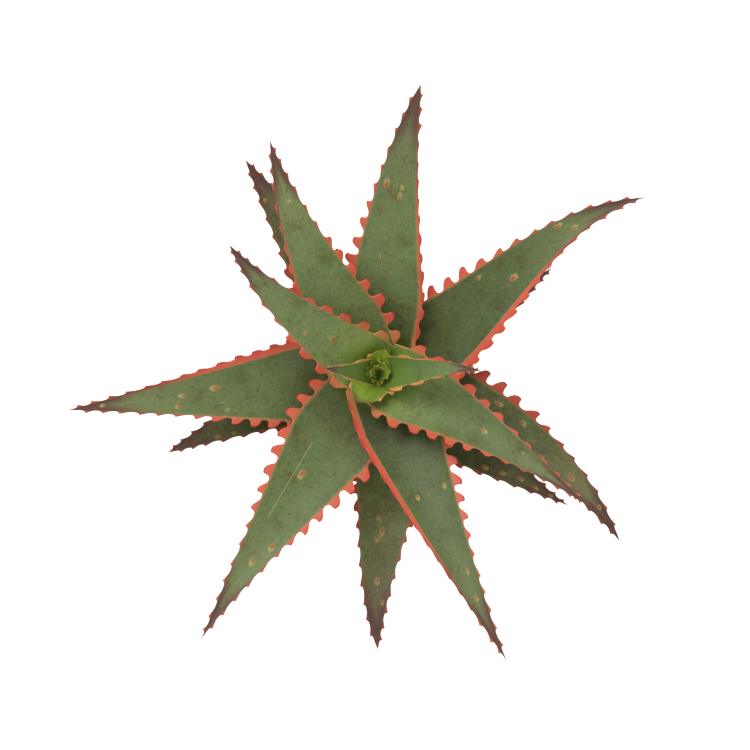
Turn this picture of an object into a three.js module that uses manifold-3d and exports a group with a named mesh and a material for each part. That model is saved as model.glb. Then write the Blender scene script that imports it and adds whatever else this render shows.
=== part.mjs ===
// Potted aloe: a rosette of seventeen toothed leaves on a short crown stem, rooted in potting mix in a plain
// round nursery pot. Millimetres, +Z up. The origin is the middle of the pot's flat underside.
import * as THREE from "three";
import { mergeVertices } from "three/addons/utils/BufferGeometryUtils.js";
import Module from "manifold-3d";

const wasm = await Module();
wasm.setup();

// ---- Driving dimensions ------------------------------------------------------------------------------

// Pot
const POT_HEIGHT = 76;
const POT_RIM_RADIUS = 40; // outside of the rolled rim
const POT_RIM_DEPTH = 10; // how far the rim hangs down
const POT_RIM_STEP = 1.8; // how far the rim stands out from the wall below it
const POT_BASE_RADIUS = 28;
const POT_WALL = 1.8;
const POT_FLOOR = 2.4;
const POT_SEGMENTS = 40;
const DRAIN_HOLES = 6;
const DRAIN_HOLE_RADIUS = 3.5;
const DRAIN_RING_RADIUS = 18;

// Potting mix
const MIX_HEADSPACE = 8; // from the mix at the wall up to the rim
const MIX_CROWN_RISE = 2; // the mix is a little higher round the stem
const MIX_CLEARANCE = 0.6; // to the pot, the stem and the roots

// Crown stem and roots
const CROWN_OFFSET = 6; // the plant grows this far behind the pot's axis
const STEM_RADIUS = 5;
const STEM_NECK_RADIUS = 2.6;
const STEM_RISE = 32; // from the pot's rim up to the top of the stem
const STEM_DEPTH = 36; // from the rim down to the stem's foot
const ROOT_COUNT = 5;
const ROOT_RADIUS = 1.8;
const ROOT_SPREAD = 17; // how far the root tips are from the stem's axis
const ROOT_TIP_HEIGHT = 16; // above the pot's underside

// Leaves: what they all share
const LEAF_SEAT = 0.8; // gap between a leaf's heel and the stem
const LEAF_CLASP_REACH = 26; // how far from the stem the margins stop wrapping round it
const LEAF_EDGE = 1.1; // thickness of the margin that carries the teeth
const LEAF_TIP_LENGTH = 0.16; // the toothless point, as a share of the reach
const TOOTH_PITCH = 7.4; // from one tooth to the next along a margin
const TOOTH_HOOK = 0.9; // how far a tooth's point is bent along the margin
const LEAF_CREST = 0.45; // the share of the reach up to which a leaf still rises at its lift angle
const FLANK_PLACE = 0.6; // where the flesh turns down to its keel, as a share of half the width
const FLANK_FLESH = 0.8; // flesh there, as a share of the flesh over the keel
const HEEL_FLESH = 0.62; // flesh at the heel, as a share of the thickest

// Leaves, one by one. bearing is the compass angle about the stem (degrees, counter-clockwise from +X),
// reach the distance of the tip from the stem's axis, bend and sway the side curve of the midline (bend is
// one bow, sway is an S), root the height of the heel above the pot's rim, lift the angle at which it leaves
// the stem (degrees) and tip the height of the point above the rim. width is the widest width, at the share
// "widest" of the reach, heel the width at the stem as a share of width, clasp how far the margins reach back
// round the stem, and a taper above 1 makes the blade narrow faster. depth is how deep the channel is, thick
// the thickest flesh, tooth the tooth length, and lean the angle by which a margin's teeth stand up from the
// blade (degrees).
const LEAVES = {
  leaf_01: {
    bearing: 81.5, reach: 115, bend: 2.8, sway: 2, root: 16.5, lift: 28, tip: 55,
    width: 30, widest: 0.28, heel: 0.85, clasp: 3, taper: 0.85, depth: 3.2, thick: 4.6,
    tooth: 5.4, lean: { left: 5, right: 70 },
  },
  leaf_02: {
    bearing: 33, reach: 127.5, bend: 3.2, sway: 11, root: 12.5, lift: 24, tip: 45,
    width: 33, widest: 0.22, heel: 0.9, clasp: 2.5, taper: 1.1, depth: 3, thick: 4.6,
    tooth: 5, lean: { left: 10, right: 50 },
  },
  leaf_03: {
    bearing: -35, reach: 119, bend: 12, sway: 2, root: 8.5, lift: 15, tip: 24,
    width: 25, widest: 0.28, heel: 0.65, clasp: 2, taper: 0.9, depth: 2.2, thick: 4,
    tooth: 5, lean: { left: 10, right: 10 },
  },
  leaf_04: {
    bearing: -32.5, reach: 97, bend: 2.8, sway: 0, root: 26.5, lift: 42, tip: 76,
    width: 29, widest: 0.17, heel: 0.9, clasp: 4, taper: 1.25, depth: 3.4, thick: 4.6,
    tooth: 4.2, lean: { left: 20, right: 35 },
  },
  leaf_05: {
    bearing: -35, reach: 95, bend: -2.5, sway: 0, root: 3.5, lift: 12, tip: 12,
    width: 26, widest: 0.35, heel: 0.5, clasp: 1, taper: 1.2, depth: 2, thick: 3.6,
    tooth: 3, lean: { left: 10, right: 30 },
  },
  leaf_06: {
    bearing: -66, reach: 124.5, bend: -1.9, sway: 0, root: 19, lift: 31, tip: 64,
    width: 33, widest: 0.2, heel: 0.9, clasp: 4.5, taper: 1.15, depth: 3.6, thick: 5,
    tooth: 4.8, lean: { left: 5, right: 70 },
  },
  leaf_07: {
    bearing: -90, reach: 113, bend: 2.8, sway: -6.5, root: -1, lift: 11, tip: 10,
    width: 25, widest: 0.42, heel: 0.45, clasp: 0.5, taper: 0.85, depth: 2, thick: 4,
    tooth: 3.4, lean: { left: 20, right: 20 },
  },
  leaf_08: {
    bearing: -123.5, reach: 128, bend: -0.8, sway: -1, root: 14, lift: 25, tip: 48,
    width: 35.5, widest: 0.27, heel: 0.75, clasp: 1.5, taper: 1.2, depth: 3.4, thick: 5,
    tooth: 5, lean: { left: 15, right: 0 },
  },
  leaf_09: {
    bearing: 187, reach: 125, bend: 0, sway: 0, root: 8.5, lift: 20, tip: 38,
    width: 33, widest: 0.27, heel: 0.8, clasp: 4, taper: 1.1, depth: 3, thick: 4.8,
    tooth: 4, lean: { left: 15, right: 50 },
  },
  leaf_10: {
    bearing: 201, reach: 91.5, bend: -2.2, sway: 0, root: 1, lift: 13, tip: 12,
    width: 21, widest: 0.4, heel: 0.55, clasp: 1, taper: 0.9, depth: 2, thick: 3.6,
    tooth: 3, lean: { left: 20, right: 20 },
  },
  leaf_11: {
    bearing: 139.5, reach: 76, bend: 3.8, sway: 1, root: 30, lift: 50, tip: 82,
    width: 25, widest: 0.12, heel: 0.95, clasp: 4.5, taper: 0.92, depth: 3, thick: 4,
    tooth: 4.2, lean: { left: 15, right: 40 },
  },
  leaf_12: {
    bearing: 115, reach: 100, bend: 4.6, sway: 1, root: 21.5, lift: 38, tip: 71,
    width: 28.5, widest: 0.25, heel: 0.75, clasp: 2.5, taper: 1, depth: 3.2, thick: 4.6,
    tooth: 4.6, lean: { left: 25, right: 20 },
  },
  leaf_13: {
    bearing: 122, reach: 101, bend: -0.4, sway: 0, root: 4, lift: 14, tip: 21,
    width: 24, widest: 0.4, heel: 0.55, clasp: 1, taper: 0.9, depth: 2, thick: 4,
    tooth: 3.2, lean: { left: 20, right: 20 },
  },
  leaf_14: {
    bearing: 0.5, reach: 40, bend: 0.8, sway: 1.5, root: 33, lift: 64, tip: 80,
    width: 13.5, widest: 0.15, heel: 0.9, clasp: 2.5, taper: 1, depth: 2, thick: 2.8,
    tooth: 2.2, lean: { left: 40, right: 40 },
  },
  leaf_15: {
    bearing: 176, reach: 21, bend: 0.5, sway: 0, root: 34, lift: 74, tip: 70,
    width: 11, widest: 0.2, heel: 0.9, clasp: 2, taper: 1, depth: 1.6, thick: 2.4,
    tooth: 2, lean: { left: 50, right: 50 },
  },
  leaf_16: {
    bearing: 190, reach: 3, bend: 0, sway: 0, root: 34.5, lift: 84, tip: 52,
    width: 6, widest: 0.4, heel: 0.9, clasp: 0, taper: 1, depth: 0.8, thick: 1.4,
    tooth: 0.8, lean: { left: 60, right: 60 },
  },
  leaf_17: {
    bearing: 31, reach: 83, bend: -3, sway: 0, root: -0.6, lift: 13, tip: 12,
    width: 28, widest: 0.35, heel: 0.45, clasp: 0.5, taper: 1.25, depth: 2, thick: 3.6,
    tooth: 2.4, lean: { left: 20, right: 20 },
  },
};

// ---- Materials ---------------------------------------------------------------------------------------

const leafGreen = new THREE.MeshStandardMaterial({ color: 0x6b7f4e, roughness: 0.5, metalness: 0 });
const lowLeafGreen = new THREE.MeshStandardMaterial({ color: 0x5a6038, roughness: 0.55, metalness: 0 });
const heartGreen = new THREE.MeshStandardMaterial({ color: 0x7d9a3c, roughness: 0.45, metalness: 0 });
const stemBrown = new THREE.MeshStandardMaterial({ color: 0x9a8458, roughness: 0.8, metalness: 0 });
const mixBrown = new THREE.MeshStandardMaterial({ color: 0x3a2a1e, roughness: 0.95, metalness: 0 });
const potPlastic = new THREE.MeshStandardMaterial({ color: 0x9c5a3c, roughness: 0.6, metalness: 0 });
const HEART_LEAVES = ["leaf_14", "leaf_15", "leaf_16"];
const LOW_LEAVES = ["leaf_03", "leaf_05", "leaf_07", "leaf_10", "leaf_13", "leaf_17"];

// ---- Solid helpers -----------------------------------------------------------------------------------

// A three.js geometry as a manifold-3d solid.
function solid(geometry) {
  const bare = geometry.index ? geometry.toNonIndexed() : geometry.clone();
  bare.deleteAttribute("normal");
  bare.deleteAttribute("uv");
  const merged = mergeVertices(bare, 1e-4);
  return new wasm.Manifold(
    new wasm.Mesh({
      numProp: 3,
      vertProperties: new Float32Array(merged.attributes.position.array),
      triVerts: new Uint32Array(merged.index.array),
    }),
  );
}

// A manifold-3d solid back as a three.js geometry.
function geometryOf(made) {
  const mesh = made.getMesh();
  const geometry = new THREE.BufferGeometry();
  geometry.setAttribute("position", new THREE.BufferAttribute(new Float32Array(mesh.vertProperties), 3));
  geometry.setIndex(new THREE.BufferAttribute(new Uint32Array(mesh.triVerts), 1));
  geometry.computeVertexNormals();
  return geometry;
}

// A solid turned from [radius, height] points, the first and last of them on the axis.
function turned(profile, segments) {
  const outline = profile.map(([radius, height]) => new THREE.Vector2(radius, height));
  return new THREE.LatheGeometry(outline, segments).rotateX(Math.PI / 2);
}

// ---- Pot ---------------------------------------------------------------------------------------------

const potWallTop = POT_RIM_RADIUS - POT_RIM_STEP; // outer radius of the tapered wall where the rim hides it
const potInnerBase = POT_BASE_RADIUS - POT_WALL;
const potInnerTop = potWallTop - POT_WALL;

// Inner radius of the tapered wall at a height.
function potInnerRadius(height) {
  return potInnerBase + ((potInnerTop - potInnerBase) * height) / POT_HEIGHT;
}

function potGeometry() {
  const rimFoot = POT_HEIGHT - POT_RIM_DEPTH;
  const wallAtRimFoot = potInnerRadius(rimFoot) + POT_WALL;
  const body = solid(
    turned(
      [
        [0, 0],
        [POT_BASE_RADIUS, 0],
        [wallAtRimFoot, rimFoot],
        [POT_RIM_RADIUS, rimFoot + 1],
        [POT_RIM_RADIUS, POT_HEIGHT - 1],
        [POT_RIM_RADIUS - 1, POT_HEIGHT],
        [potInnerTop, POT_HEIGHT],
        [potInnerRadius(POT_FLOOR), POT_FLOOR],
        [0, POT_FLOOR],
      ],
      POT_SEGMENTS,
    ),
  );
  let made = body;
  for (let i = 0; i < DRAIN_HOLES; i += 1) {
    const angle = (i * 2 * Math.PI) / DRAIN_HOLES;
    const drill = new THREE.CylinderGeometry(DRAIN_HOLE_RADIUS, DRAIN_HOLE_RADIUS, 4 * POT_FLOOR, 12)
      .rotateX(Math.PI / 2)
      .translate(DRAIN_RING_RADIUS * Math.cos(angle), DRAIN_RING_RADIUS * Math.sin(angle), 0);
    made = made.subtract(solid(drill));
  }
  return geometryOf(made);
}

// ---- Stem, roots and potting mix ---------------------------------------------------------------------

const stemTop = POT_HEIGHT + STEM_RISE;
const stemFoot = POT_HEIGHT - STEM_DEPTH;

// One root: a tapering tube that leaves the stem's foot and curves out and down.
function rootSolid(index, swell) {
  const angle = ((index + 0.3) * 2 * Math.PI) / ROOT_COUNT;
  const out = (radius, height) =>
    new THREE.Vector3(radius * Math.cos(angle), CROWN_OFFSET + radius * Math.sin(angle), height);
  const route = new THREE.CatmullRomCurve3([
    out(0, stemFoot + 6),
    out(ROOT_SPREAD * 0.55, stemFoot - 2),
    out(ROOT_SPREAD, ROOT_TIP_HEIGHT),
  ]);
  const section = new THREE.Shape();
  section.absarc(0, 0, ROOT_RADIUS + swell, 0, 2 * Math.PI);
  const tube = new THREE.ExtrudeGeometry(section, {
    extrudePath: route, steps: 5, bevelEnabled: false, curveSegments: 3,
  });
  const end = new THREE.SphereGeometry(ROOT_RADIUS + swell, 8, 5);
  const tip = route.getPoint(1);
  return solid(tube).add(solid(end.translate(tip.x, tip.y, tip.z)));
}

// Stem and roots as one solid, every surface moved out by swell: 0 for the stem, more for its pocket.
function stemSolid(swell) {
  const shaft = turned(
    [
      [0, stemFoot - swell],
      [STEM_RADIUS * 0.6 + swell, stemFoot - swell],
      [STEM_RADIUS + swell, stemFoot + 14],
      [STEM_RADIUS + swell, stemTop - 12],
      [STEM_NECK_RADIUS + swell, stemTop + swell],
      [0, stemTop + swell],
    ],
    16,
  ).translate(0, CROWN_OFFSET, 0);
  let made = solid(shaft);
  for (let i = 0; i < ROOT_COUNT; i += 1) made = made.add(rootSolid(i, swell));
  return made;
}

function mixGeometry() {
  const low = POT_FLOOR + MIX_CLEARANCE;
  const high = POT_HEIGHT - MIX_HEADSPACE;
  const fill = solid(
    turned(
      [
        [0, low],
        [potInnerRadius(low) - MIX_CLEARANCE, low],
        [potInnerRadius(high) - MIX_CLEARANCE, high],
        [potInnerRadius(high) * 0.7, high + 0.3 * MIX_CROWN_RISE],
        [potInnerRadius(high) * 0.35, high + MIX_CROWN_RISE],
        [0, high + MIX_CROWN_RISE],
      ],
      POT_SEGMENTS,
    ),
  );
  return geometryOf(fill.subtract(stemSolid(MIX_CLEARANCE)));
}

// ---- Leaves ------------------------------------------------------------------------------------------

const radians = (degrees) => (degrees * Math.PI) / 180;
const mix = (a, b, t) => a + (b - a) * t;
const easeInOut = (t) => t * t * (3 - 2 * t);
// A repeatable value from -1 to 1 that differs from place to place.
const flutter = (n) => Math.sin(n * 12.9898 + 4.1) * Math.cos(n * 7.233);

// Where a heel starts: clear of the stem, which narrows to a neck at its top.
function heelRadius(leaf) {
  const up = THREE.MathUtils.clamp((leaf.root - (STEM_RISE - 12)) / 12, 0, 1);
  return mix(STEM_RADIUS, STEM_NECK_RADIUS, up) + LEAF_SEAT;
}

// A point of the midline at a distance from the stem's axis, and its share of the reach.
function midline(leaf, distance) {
  const heel = Math.min(heelRadius(leaf), leaf.reach * 0.5);
  const t = (distance - heel) / (leaf.reach - heel);
  const share = distance / leaf.reach;
  const crest = leaf.root + LEAF_CREST * (leaf.reach - heel) * Math.tan(radians(leaf.lift));
  const rise = (1 - t) ** 2 * leaf.root + 2 * t * (1 - t) * crest + t ** 2 * leaf.tip;
  const side = 4 * share * (1 - share) * (leaf.bend + leaf.sway * (2 * share - 1));
  const turn = radians(leaf.bearing);
  return new THREE.Vector3(
    distance * Math.cos(turn) - side * Math.sin(turn),
    CROWN_OFFSET + distance * Math.sin(turn) + side * Math.cos(turn),
    POT_HEIGHT + rise,
  );
}

// Half the blade's width at a share of the reach.
function halfWidth(leaf, share) {
  if (share < leaf.widest) {
    return 0.5 * leaf.width * mix(leaf.heel, 1, easeInOut(share / leaf.widest));
  }
  return 0.5 * leaf.width * ((1 - share) / (1 - leaf.widest)) ** leaf.taper;
}

// Distances from the stem at which the blade has a cross-section: two a tooth along the toothed margin, so
// that each gap between sections carries a tooth on one margin or the other, then a few to the point.
function sections(leaf) {
  const heel = Math.min(heelRadius(leaf), leaf.reach * 0.5);
  const toothed = leaf.reach * (1 - LEAF_TIP_LENGTH);
  const gaps = Math.max(4, Math.round((2 * (toothed - heel)) / TOOTH_PITCH));
  const at = [heel];
  for (let i = 1; i <= gaps; i += 1) {
    const jitter = i < gaps ? 0.16 * flutter(i + leaf.bearing) : 0;
    at.push(heel + ((toothed - heel) * (i + jitter)) / gaps);
  }
  for (const share of [0.35, 0.68, 0.9]) at.push(mix(toothed, leaf.reach, share));
  return { at, gaps };
}

// The blade's own axes at a distance: along it, out to its left margin, and up from its channel.
function axesAt(leaf, distance) {
  const step = 0.01 * leaf.reach;
  const along = midline(leaf, distance + step).sub(midline(leaf, distance - step)).normalize();
  const left = new THREE.Vector3(0, 0, 1).cross(along).normalize();
  const up = along.clone().cross(left);
  return { along, left, up };
}

// One cross-section, eight points: left margin, channel and right margin over the top, then back below.
function ring(leaf, distance) {
  const share = distance / leaf.reach;
  const middle = midline(leaf, distance);
  const { along, left, up } = axesAt(leaf, distance);
  const half = halfWidth(leaf, share);
  const fullness = half / (0.5 * leaf.width);
  const channel = leaf.depth * fullness;
  const flesh = Math.max(0.5 * LEAF_EDGE, leaf.thick * Math.min(1, HEEL_FLESH + share) * fullness ** 0.8);
  const flank = FLANK_PLACE ** 2 * channel - FLANK_FLESH * flesh;
  const edge = LEAF_EDGE * Math.min(1, 0.3 + fullness);
  const clasp = -leaf.clasp * Math.max(0, 1 - distance / LEAF_CLASP_REACH) ** 2;
  const place = (across, above) =>
    middle
      .clone()
      .addScaledVector(left, across * half)
      .addScaledVector(along, clasp * across * across)
      .addScaledVector(up, above);
  return [
    place(1, channel + 0.5 * edge),
    place(0, 0),
    place(-1, channel + 0.5 * edge),
    place(-1, channel - 0.5 * edge),
    place(-FLANK_PLACE, flank),
    place(0, -flesh),
    place(FLANK_PLACE, flank),
    place(1, channel - 0.5 * edge),
  ];
}

// The point of a tooth that grows from the four corners of its stretch of margin.
function toothPoint(leaf, corners, distance, side, lean) {
  const share = distance / leaf.reach;
  const { along, left, up } = axesAt(leaf, distance);
  const middle = new THREE.Vector3();
  corners.forEach((corner) => middle.addScaledVector(corner, 0.25));
  const size = leaf.tooth * Math.min(1, 1.3 - 1.1 * share) * (1 + 0.15 * flutter(distance));
  return middle
    .addScaledVector(left, side * size * Math.cos(radians(lean)))
    .addScaledVector(up, size * Math.sin(radians(lean)))
    .addScaledVector(along, TOOTH_HOOK * Math.min(1, 0.25 * size));
}

function leafGeometry(leaf) {
  const { at, gaps } = sections(leaf);
  const points = at.flatMap((distance) => ring(leaf, distance));
  const faces = [];
  const tooth = (a, b, c, d, gap, side, lean) => {
    const corners = [a, b, c, d].map((index) => points[index]);
    const apex = points.push(toothPoint(leaf, corners, 0.5 * (at[gap] + at[gap + 1]), side, lean)) - 1;
    faces.push([a, b, apex], [b, c, apex], [c, d, apex], [d, a, apex]);
  };
  for (let gap = 0; gap + 1 < at.length; gap += 1) {
    for (let i = 0; i < 8; i += 1) {
      const j = (i + 1) % 8;
      const quad = [8 * gap + i, 8 * gap + j, 8 * gap + 8 + j, 8 * gap + 8 + i];
      const toothed = gap > 0 && gap < gaps;
      if (i === 7 && toothed && gap % 2 === 0) tooth(...quad, gap, 1, leaf.lean.left);
      else if (i === 2 && toothed && gap % 2 === 1) tooth(...quad, gap, -1, leaf.lean.right);
      else faces.push([quad[0], quad[1], quad[2]], [quad[0], quad[2], quad[3]]);
    }
  }
  const last = 8 * (at.length - 1);
  const tip = points.push(midline(leaf, leaf.reach)) - 1;
  const heel = points.push(points[1].clone().lerp(points[5], 0.5)) - 1;
  for (let i = 0; i < 8; i += 1) {
    const j = (i + 1) % 8;
    faces.push([last + i, last + j, tip], [j, i, heel]);
  }
  const geometry = new THREE.BufferGeometry().setFromPoints(points);
  geometry.setIndex(faces.flat());
  geometry.computeVertexNormals();
  return geometry;
}

// ---- The plant in its pot ----------------------------------------------------------------------------

const pottedAloe = new THREE.Group();

function add(name, geometry, material) {
  const mesh = new THREE.Mesh(geometry, material);
  mesh.name = name;
  pottedAloe.add(mesh);
}

function leafMaterial(name) {
  if (HEART_LEAVES.includes(name)) return heartGreen;
  return LOW_LEAVES.includes(name) ? lowLeafGreen : leafGreen;
}

add("pot", potGeometry(), potPlastic);
add("potting_mix", mixGeometry(), mixBrown);
add("crown_stem", geometryOf(stemSolid(0)), stemBrown);
for (const [name, leaf] of Object.entries(LEAVES)) add(name, leafGeometry(leaf), leafMaterial(name));

export default pottedAloe;
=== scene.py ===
"""A potted aloe: a rosette of toothed, fleshy leaves in a plain nursery pot, on a pale floor."""

import math
import random

import bmesh
import bpy
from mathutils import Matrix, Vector, noise


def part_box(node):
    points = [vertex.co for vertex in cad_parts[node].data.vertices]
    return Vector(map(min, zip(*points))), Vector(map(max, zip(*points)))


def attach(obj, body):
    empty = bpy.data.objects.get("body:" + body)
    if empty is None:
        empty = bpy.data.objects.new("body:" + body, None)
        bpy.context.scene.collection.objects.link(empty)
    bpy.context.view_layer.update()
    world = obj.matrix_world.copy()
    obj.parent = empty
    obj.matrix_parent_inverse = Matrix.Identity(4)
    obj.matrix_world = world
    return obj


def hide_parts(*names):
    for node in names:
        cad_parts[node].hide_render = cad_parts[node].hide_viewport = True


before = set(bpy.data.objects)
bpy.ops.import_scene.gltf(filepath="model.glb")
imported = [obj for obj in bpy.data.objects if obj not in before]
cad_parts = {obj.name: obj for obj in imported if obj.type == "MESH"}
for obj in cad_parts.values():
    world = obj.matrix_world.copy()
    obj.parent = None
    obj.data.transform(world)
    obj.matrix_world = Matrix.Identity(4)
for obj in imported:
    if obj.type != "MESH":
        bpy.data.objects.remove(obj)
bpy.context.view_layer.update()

MM = 0.001
random.seed(11)

# ---- Sizes (metres unless named otherwise) ----------------------------------------------------------------

POT_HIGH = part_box("pot")[1]
MIX_LOW, MIX_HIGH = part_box("potting_mix")
STEM_LOW, STEM_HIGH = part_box("crown_stem")
CROWN = Vector((0.5 * (STEM_LOW.x + STEM_HIGH.x), 6 * MM, 0))  # the stem's axis in plan

POT_BASE = 28 * MM  # outside radius at the foot
POT_WALL = 1.8 * MM
POT_FLOOR = 2.4 * MM
RIM_STEP = 1.8 * MM  # how far the rim stands out from the wall
RIM_DROP = 10 * MM  # how far the rim hangs down
DRAIN_HOLES = 6
DRAIN_RADIUS = 3.5 * MM
DRILL_LENGTH = 12 * MM
DRAIN_RING = 18 * MM  # from the pot's axis to the middle of a hole
MIX_FOOT_RADIUS = 26.4 * MM
CRUMB_WALL_GAP = 3 * MM
CRUMB_STEM_GAP = 6.5 * MM

CAMERA_LENS = 180  # millimetres on a 36 mm sensor
CAMERA_HEIGHT = 1.61  # above the floor, looking straight down
CAMERA_PLACE = (-1.2 * MM, 4.8 * MM)

LEAF_SMOOTHING = 2  # subdivision levels
TIER = {
    "low": ["leaf_03", "leaf_05", "leaf_07", "leaf_10", "leaf_13", "leaf_17"],
    "heart": ["leaf_14", "leaf_15", "leaf_16"],
}
LEAF_NAMES = [name for name in sorted(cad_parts) if name.startswith("leaf_")]
TIER["upper"] = [name for name in LEAF_NAMES if name not in TIER["low"] + TIER["heart"]]

# Raised spots on each blade: how far along it, how far across (from -1 to 1, left margin positive) and
# length in mm.
SPOTS = {
    "leaf_01": [(0.64, 0.55, 3.4), (0.63, -0.2, 2.6), (0.6, -0.15, 2.6), (0.38, 0.3, 1.6)],
    "leaf_02": [(0.71, 0.6, 3.2), (0.75, -0.2, 3.0), (0.5, -0.15, 3.6), (0.42, 0.7, 3.0)],
    "leaf_03": [(0.38, 0.6, 3.0), (0.48, 0.5, 3.0), (0.72, 0.0, 3.2), (0.86, 0.2, 2.4), (0.6, -0.3, 2.4)],
    "leaf_04": [(0.5, 0.0, 2.6), (0.68, 0.2, 1.6)],
    "leaf_05": [(0.58, -0.6, 2.6), (0.66, -0.4, 2.8), (0.74, -0.1, 2.8), (0.82, -0.2, 2.6), (0.9, 0.0, 2.0)],
    "leaf_06": [(0.41, -0.35, 2.4), (0.41, 0.65, 2.8), (0.69, 0.3, 2.2), (0.78, 0.1, 2.0)],
    "leaf_07": [(0.5, -0.2, 2.8), (0.55, 0.0, 3.2), (0.58, -0.2, 2.4), (0.74, 0.0, 3.2), (0.82, 0.6, 2.2)],
    "leaf_08": [(0.38, -0.15, 4.2), (0.63, 0.55, 3.2), (0.7, 0.15, 3.2)],
    "leaf_09": [(0.51, -0.15, 3.8), (0.62, 0.0, 2.6), (0.64, 0.55, 2.4), (0.48, 0.7, 2.2), (0.88, 0.0, 2.0)],
    "leaf_10": [(0.67, 0.7, 2.4), (0.75, 0.6, 2.2), (0.57, 0.6, 2.2)],
    "leaf_11": [(0.44, 0.4, 2.6), (0.3, -0.1, 3.0)],
    "leaf_12": [(0.75, -0.1, 2.4)],
    "leaf_13": [(0.81, 0.5, 2.2), (0.6, 0.2, 2.2)],
    "leaf_17": [(0.6, -0.4, 2.4), (0.74, -0.3, 2.2)],
}

# Extra width of the coloured margin, as a share of half the blade, on the left and the right side.
WIDE_MARGINS = {
    "leaf_01": (0.0, 0.05),
    "leaf_02": (0.0, 0.09),
    "leaf_03": (0.02, 0.0),
    "leaf_06": (0.0, 0.09),
    "leaf_09": (0.0, 0.12),
    "leaf_12": (0.03, 0.0),
}
# How large the teeth of a leaf's left and right margin are against its CAD teeth.
TOOTH_SIZES = {
    "leaf_01": (1.0, 0.65),
    "leaf_03": (1.0, 0.65),
    "leaf_02": (1.0, 0.75),
    "leaf_06": (1.0, 0.4),
    "leaf_09": (0.9, 0.6),
    "leaf_11": (0.85, 1.1),
    "leaf_12": (0.6, 1.0),
}
# A pale healed scratch: where it starts (share of the length, mm to the left of the channel), then where
# it ends.
SCARS = {"leaf_08": (0.28, -6.2, 0.56, -3.8)}
# How light each leaf is at its heel, its middle and its outer part, against the rest of its tier.
# Partly painted shade: a heel tone below 1 darkens the heel where it lies under the leaves above.
TONES = {
    "leaf_01": (0.96, 1.08, 0.96),
    "leaf_02": (0.88, 0.86, 0.95),
    "leaf_03": (0.95, 1.0, 1.15),
    "leaf_04": (1.36, 1.0, 0.93),
    "leaf_05": (0.8, 0.88, 1.0),
    "leaf_06": (0.78, 0.9, 0.92),
    "leaf_07": (0.7, 1.2, 1.0),
    "leaf_09": (0.92, 0.98, 0.99),
    "leaf_10": (0.85, 0.97, 1.0),
    "leaf_11": (1.58, 1.16, 1.03),
    "leaf_12": (1.2, 1.12, 1.08),
    "leaf_14": (1.1, 1.06, 1.1),
    "leaf_15": (1.15, 1.06, 1.0),
}


# ---- Small helpers ----------------------------------------------------------------------------------------


def deselect_all():
    """Nothing is selected or active, so the next operator acts on new work alone."""
    if bpy.context.mode != "OBJECT":
        bpy.ops.object.mode_set(mode="OBJECT")
    bpy.ops.object.select_all(action="DESELECT")


def make_active(piece):
    deselect_all()
    piece.select_set(True)
    bpy.context.view_layer.objects.active = piece


def apply_modifiers(piece):
    make_active(piece)
    for modifier in list(piece.modifiers):
        bpy.ops.object.modifier_apply(modifier=modifier.name)


def copy_of_node(node, name):
    """A copy of a CAD node's mesh with its loose triangles merged, as the start of a finer piece."""
    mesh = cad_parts[node].data.copy()
    mesh.materials.clear()
    piece = bpy.data.objects.new(name, mesh)
    bpy.context.scene.collection.objects.link(piece)
    make_active(piece)
    bpy.ops.object.mode_set(mode="EDIT")
    bpy.ops.mesh.select_all(action="SELECT")
    bpy.ops.mesh.remove_doubles(threshold=0.005 * MM)
    bpy.ops.mesh.faces_shade_smooth()
    bpy.ops.object.mode_set(mode="OBJECT")
    return piece


def finish_piece(piece, material, nodes=()):
    piece.data.materials.clear()
    piece.data.materials.append(material)
    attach(piece, "root")
    if nodes:
        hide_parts(*nodes)


# ---- Materials --------------------------------------------------------------------------------------------


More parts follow.
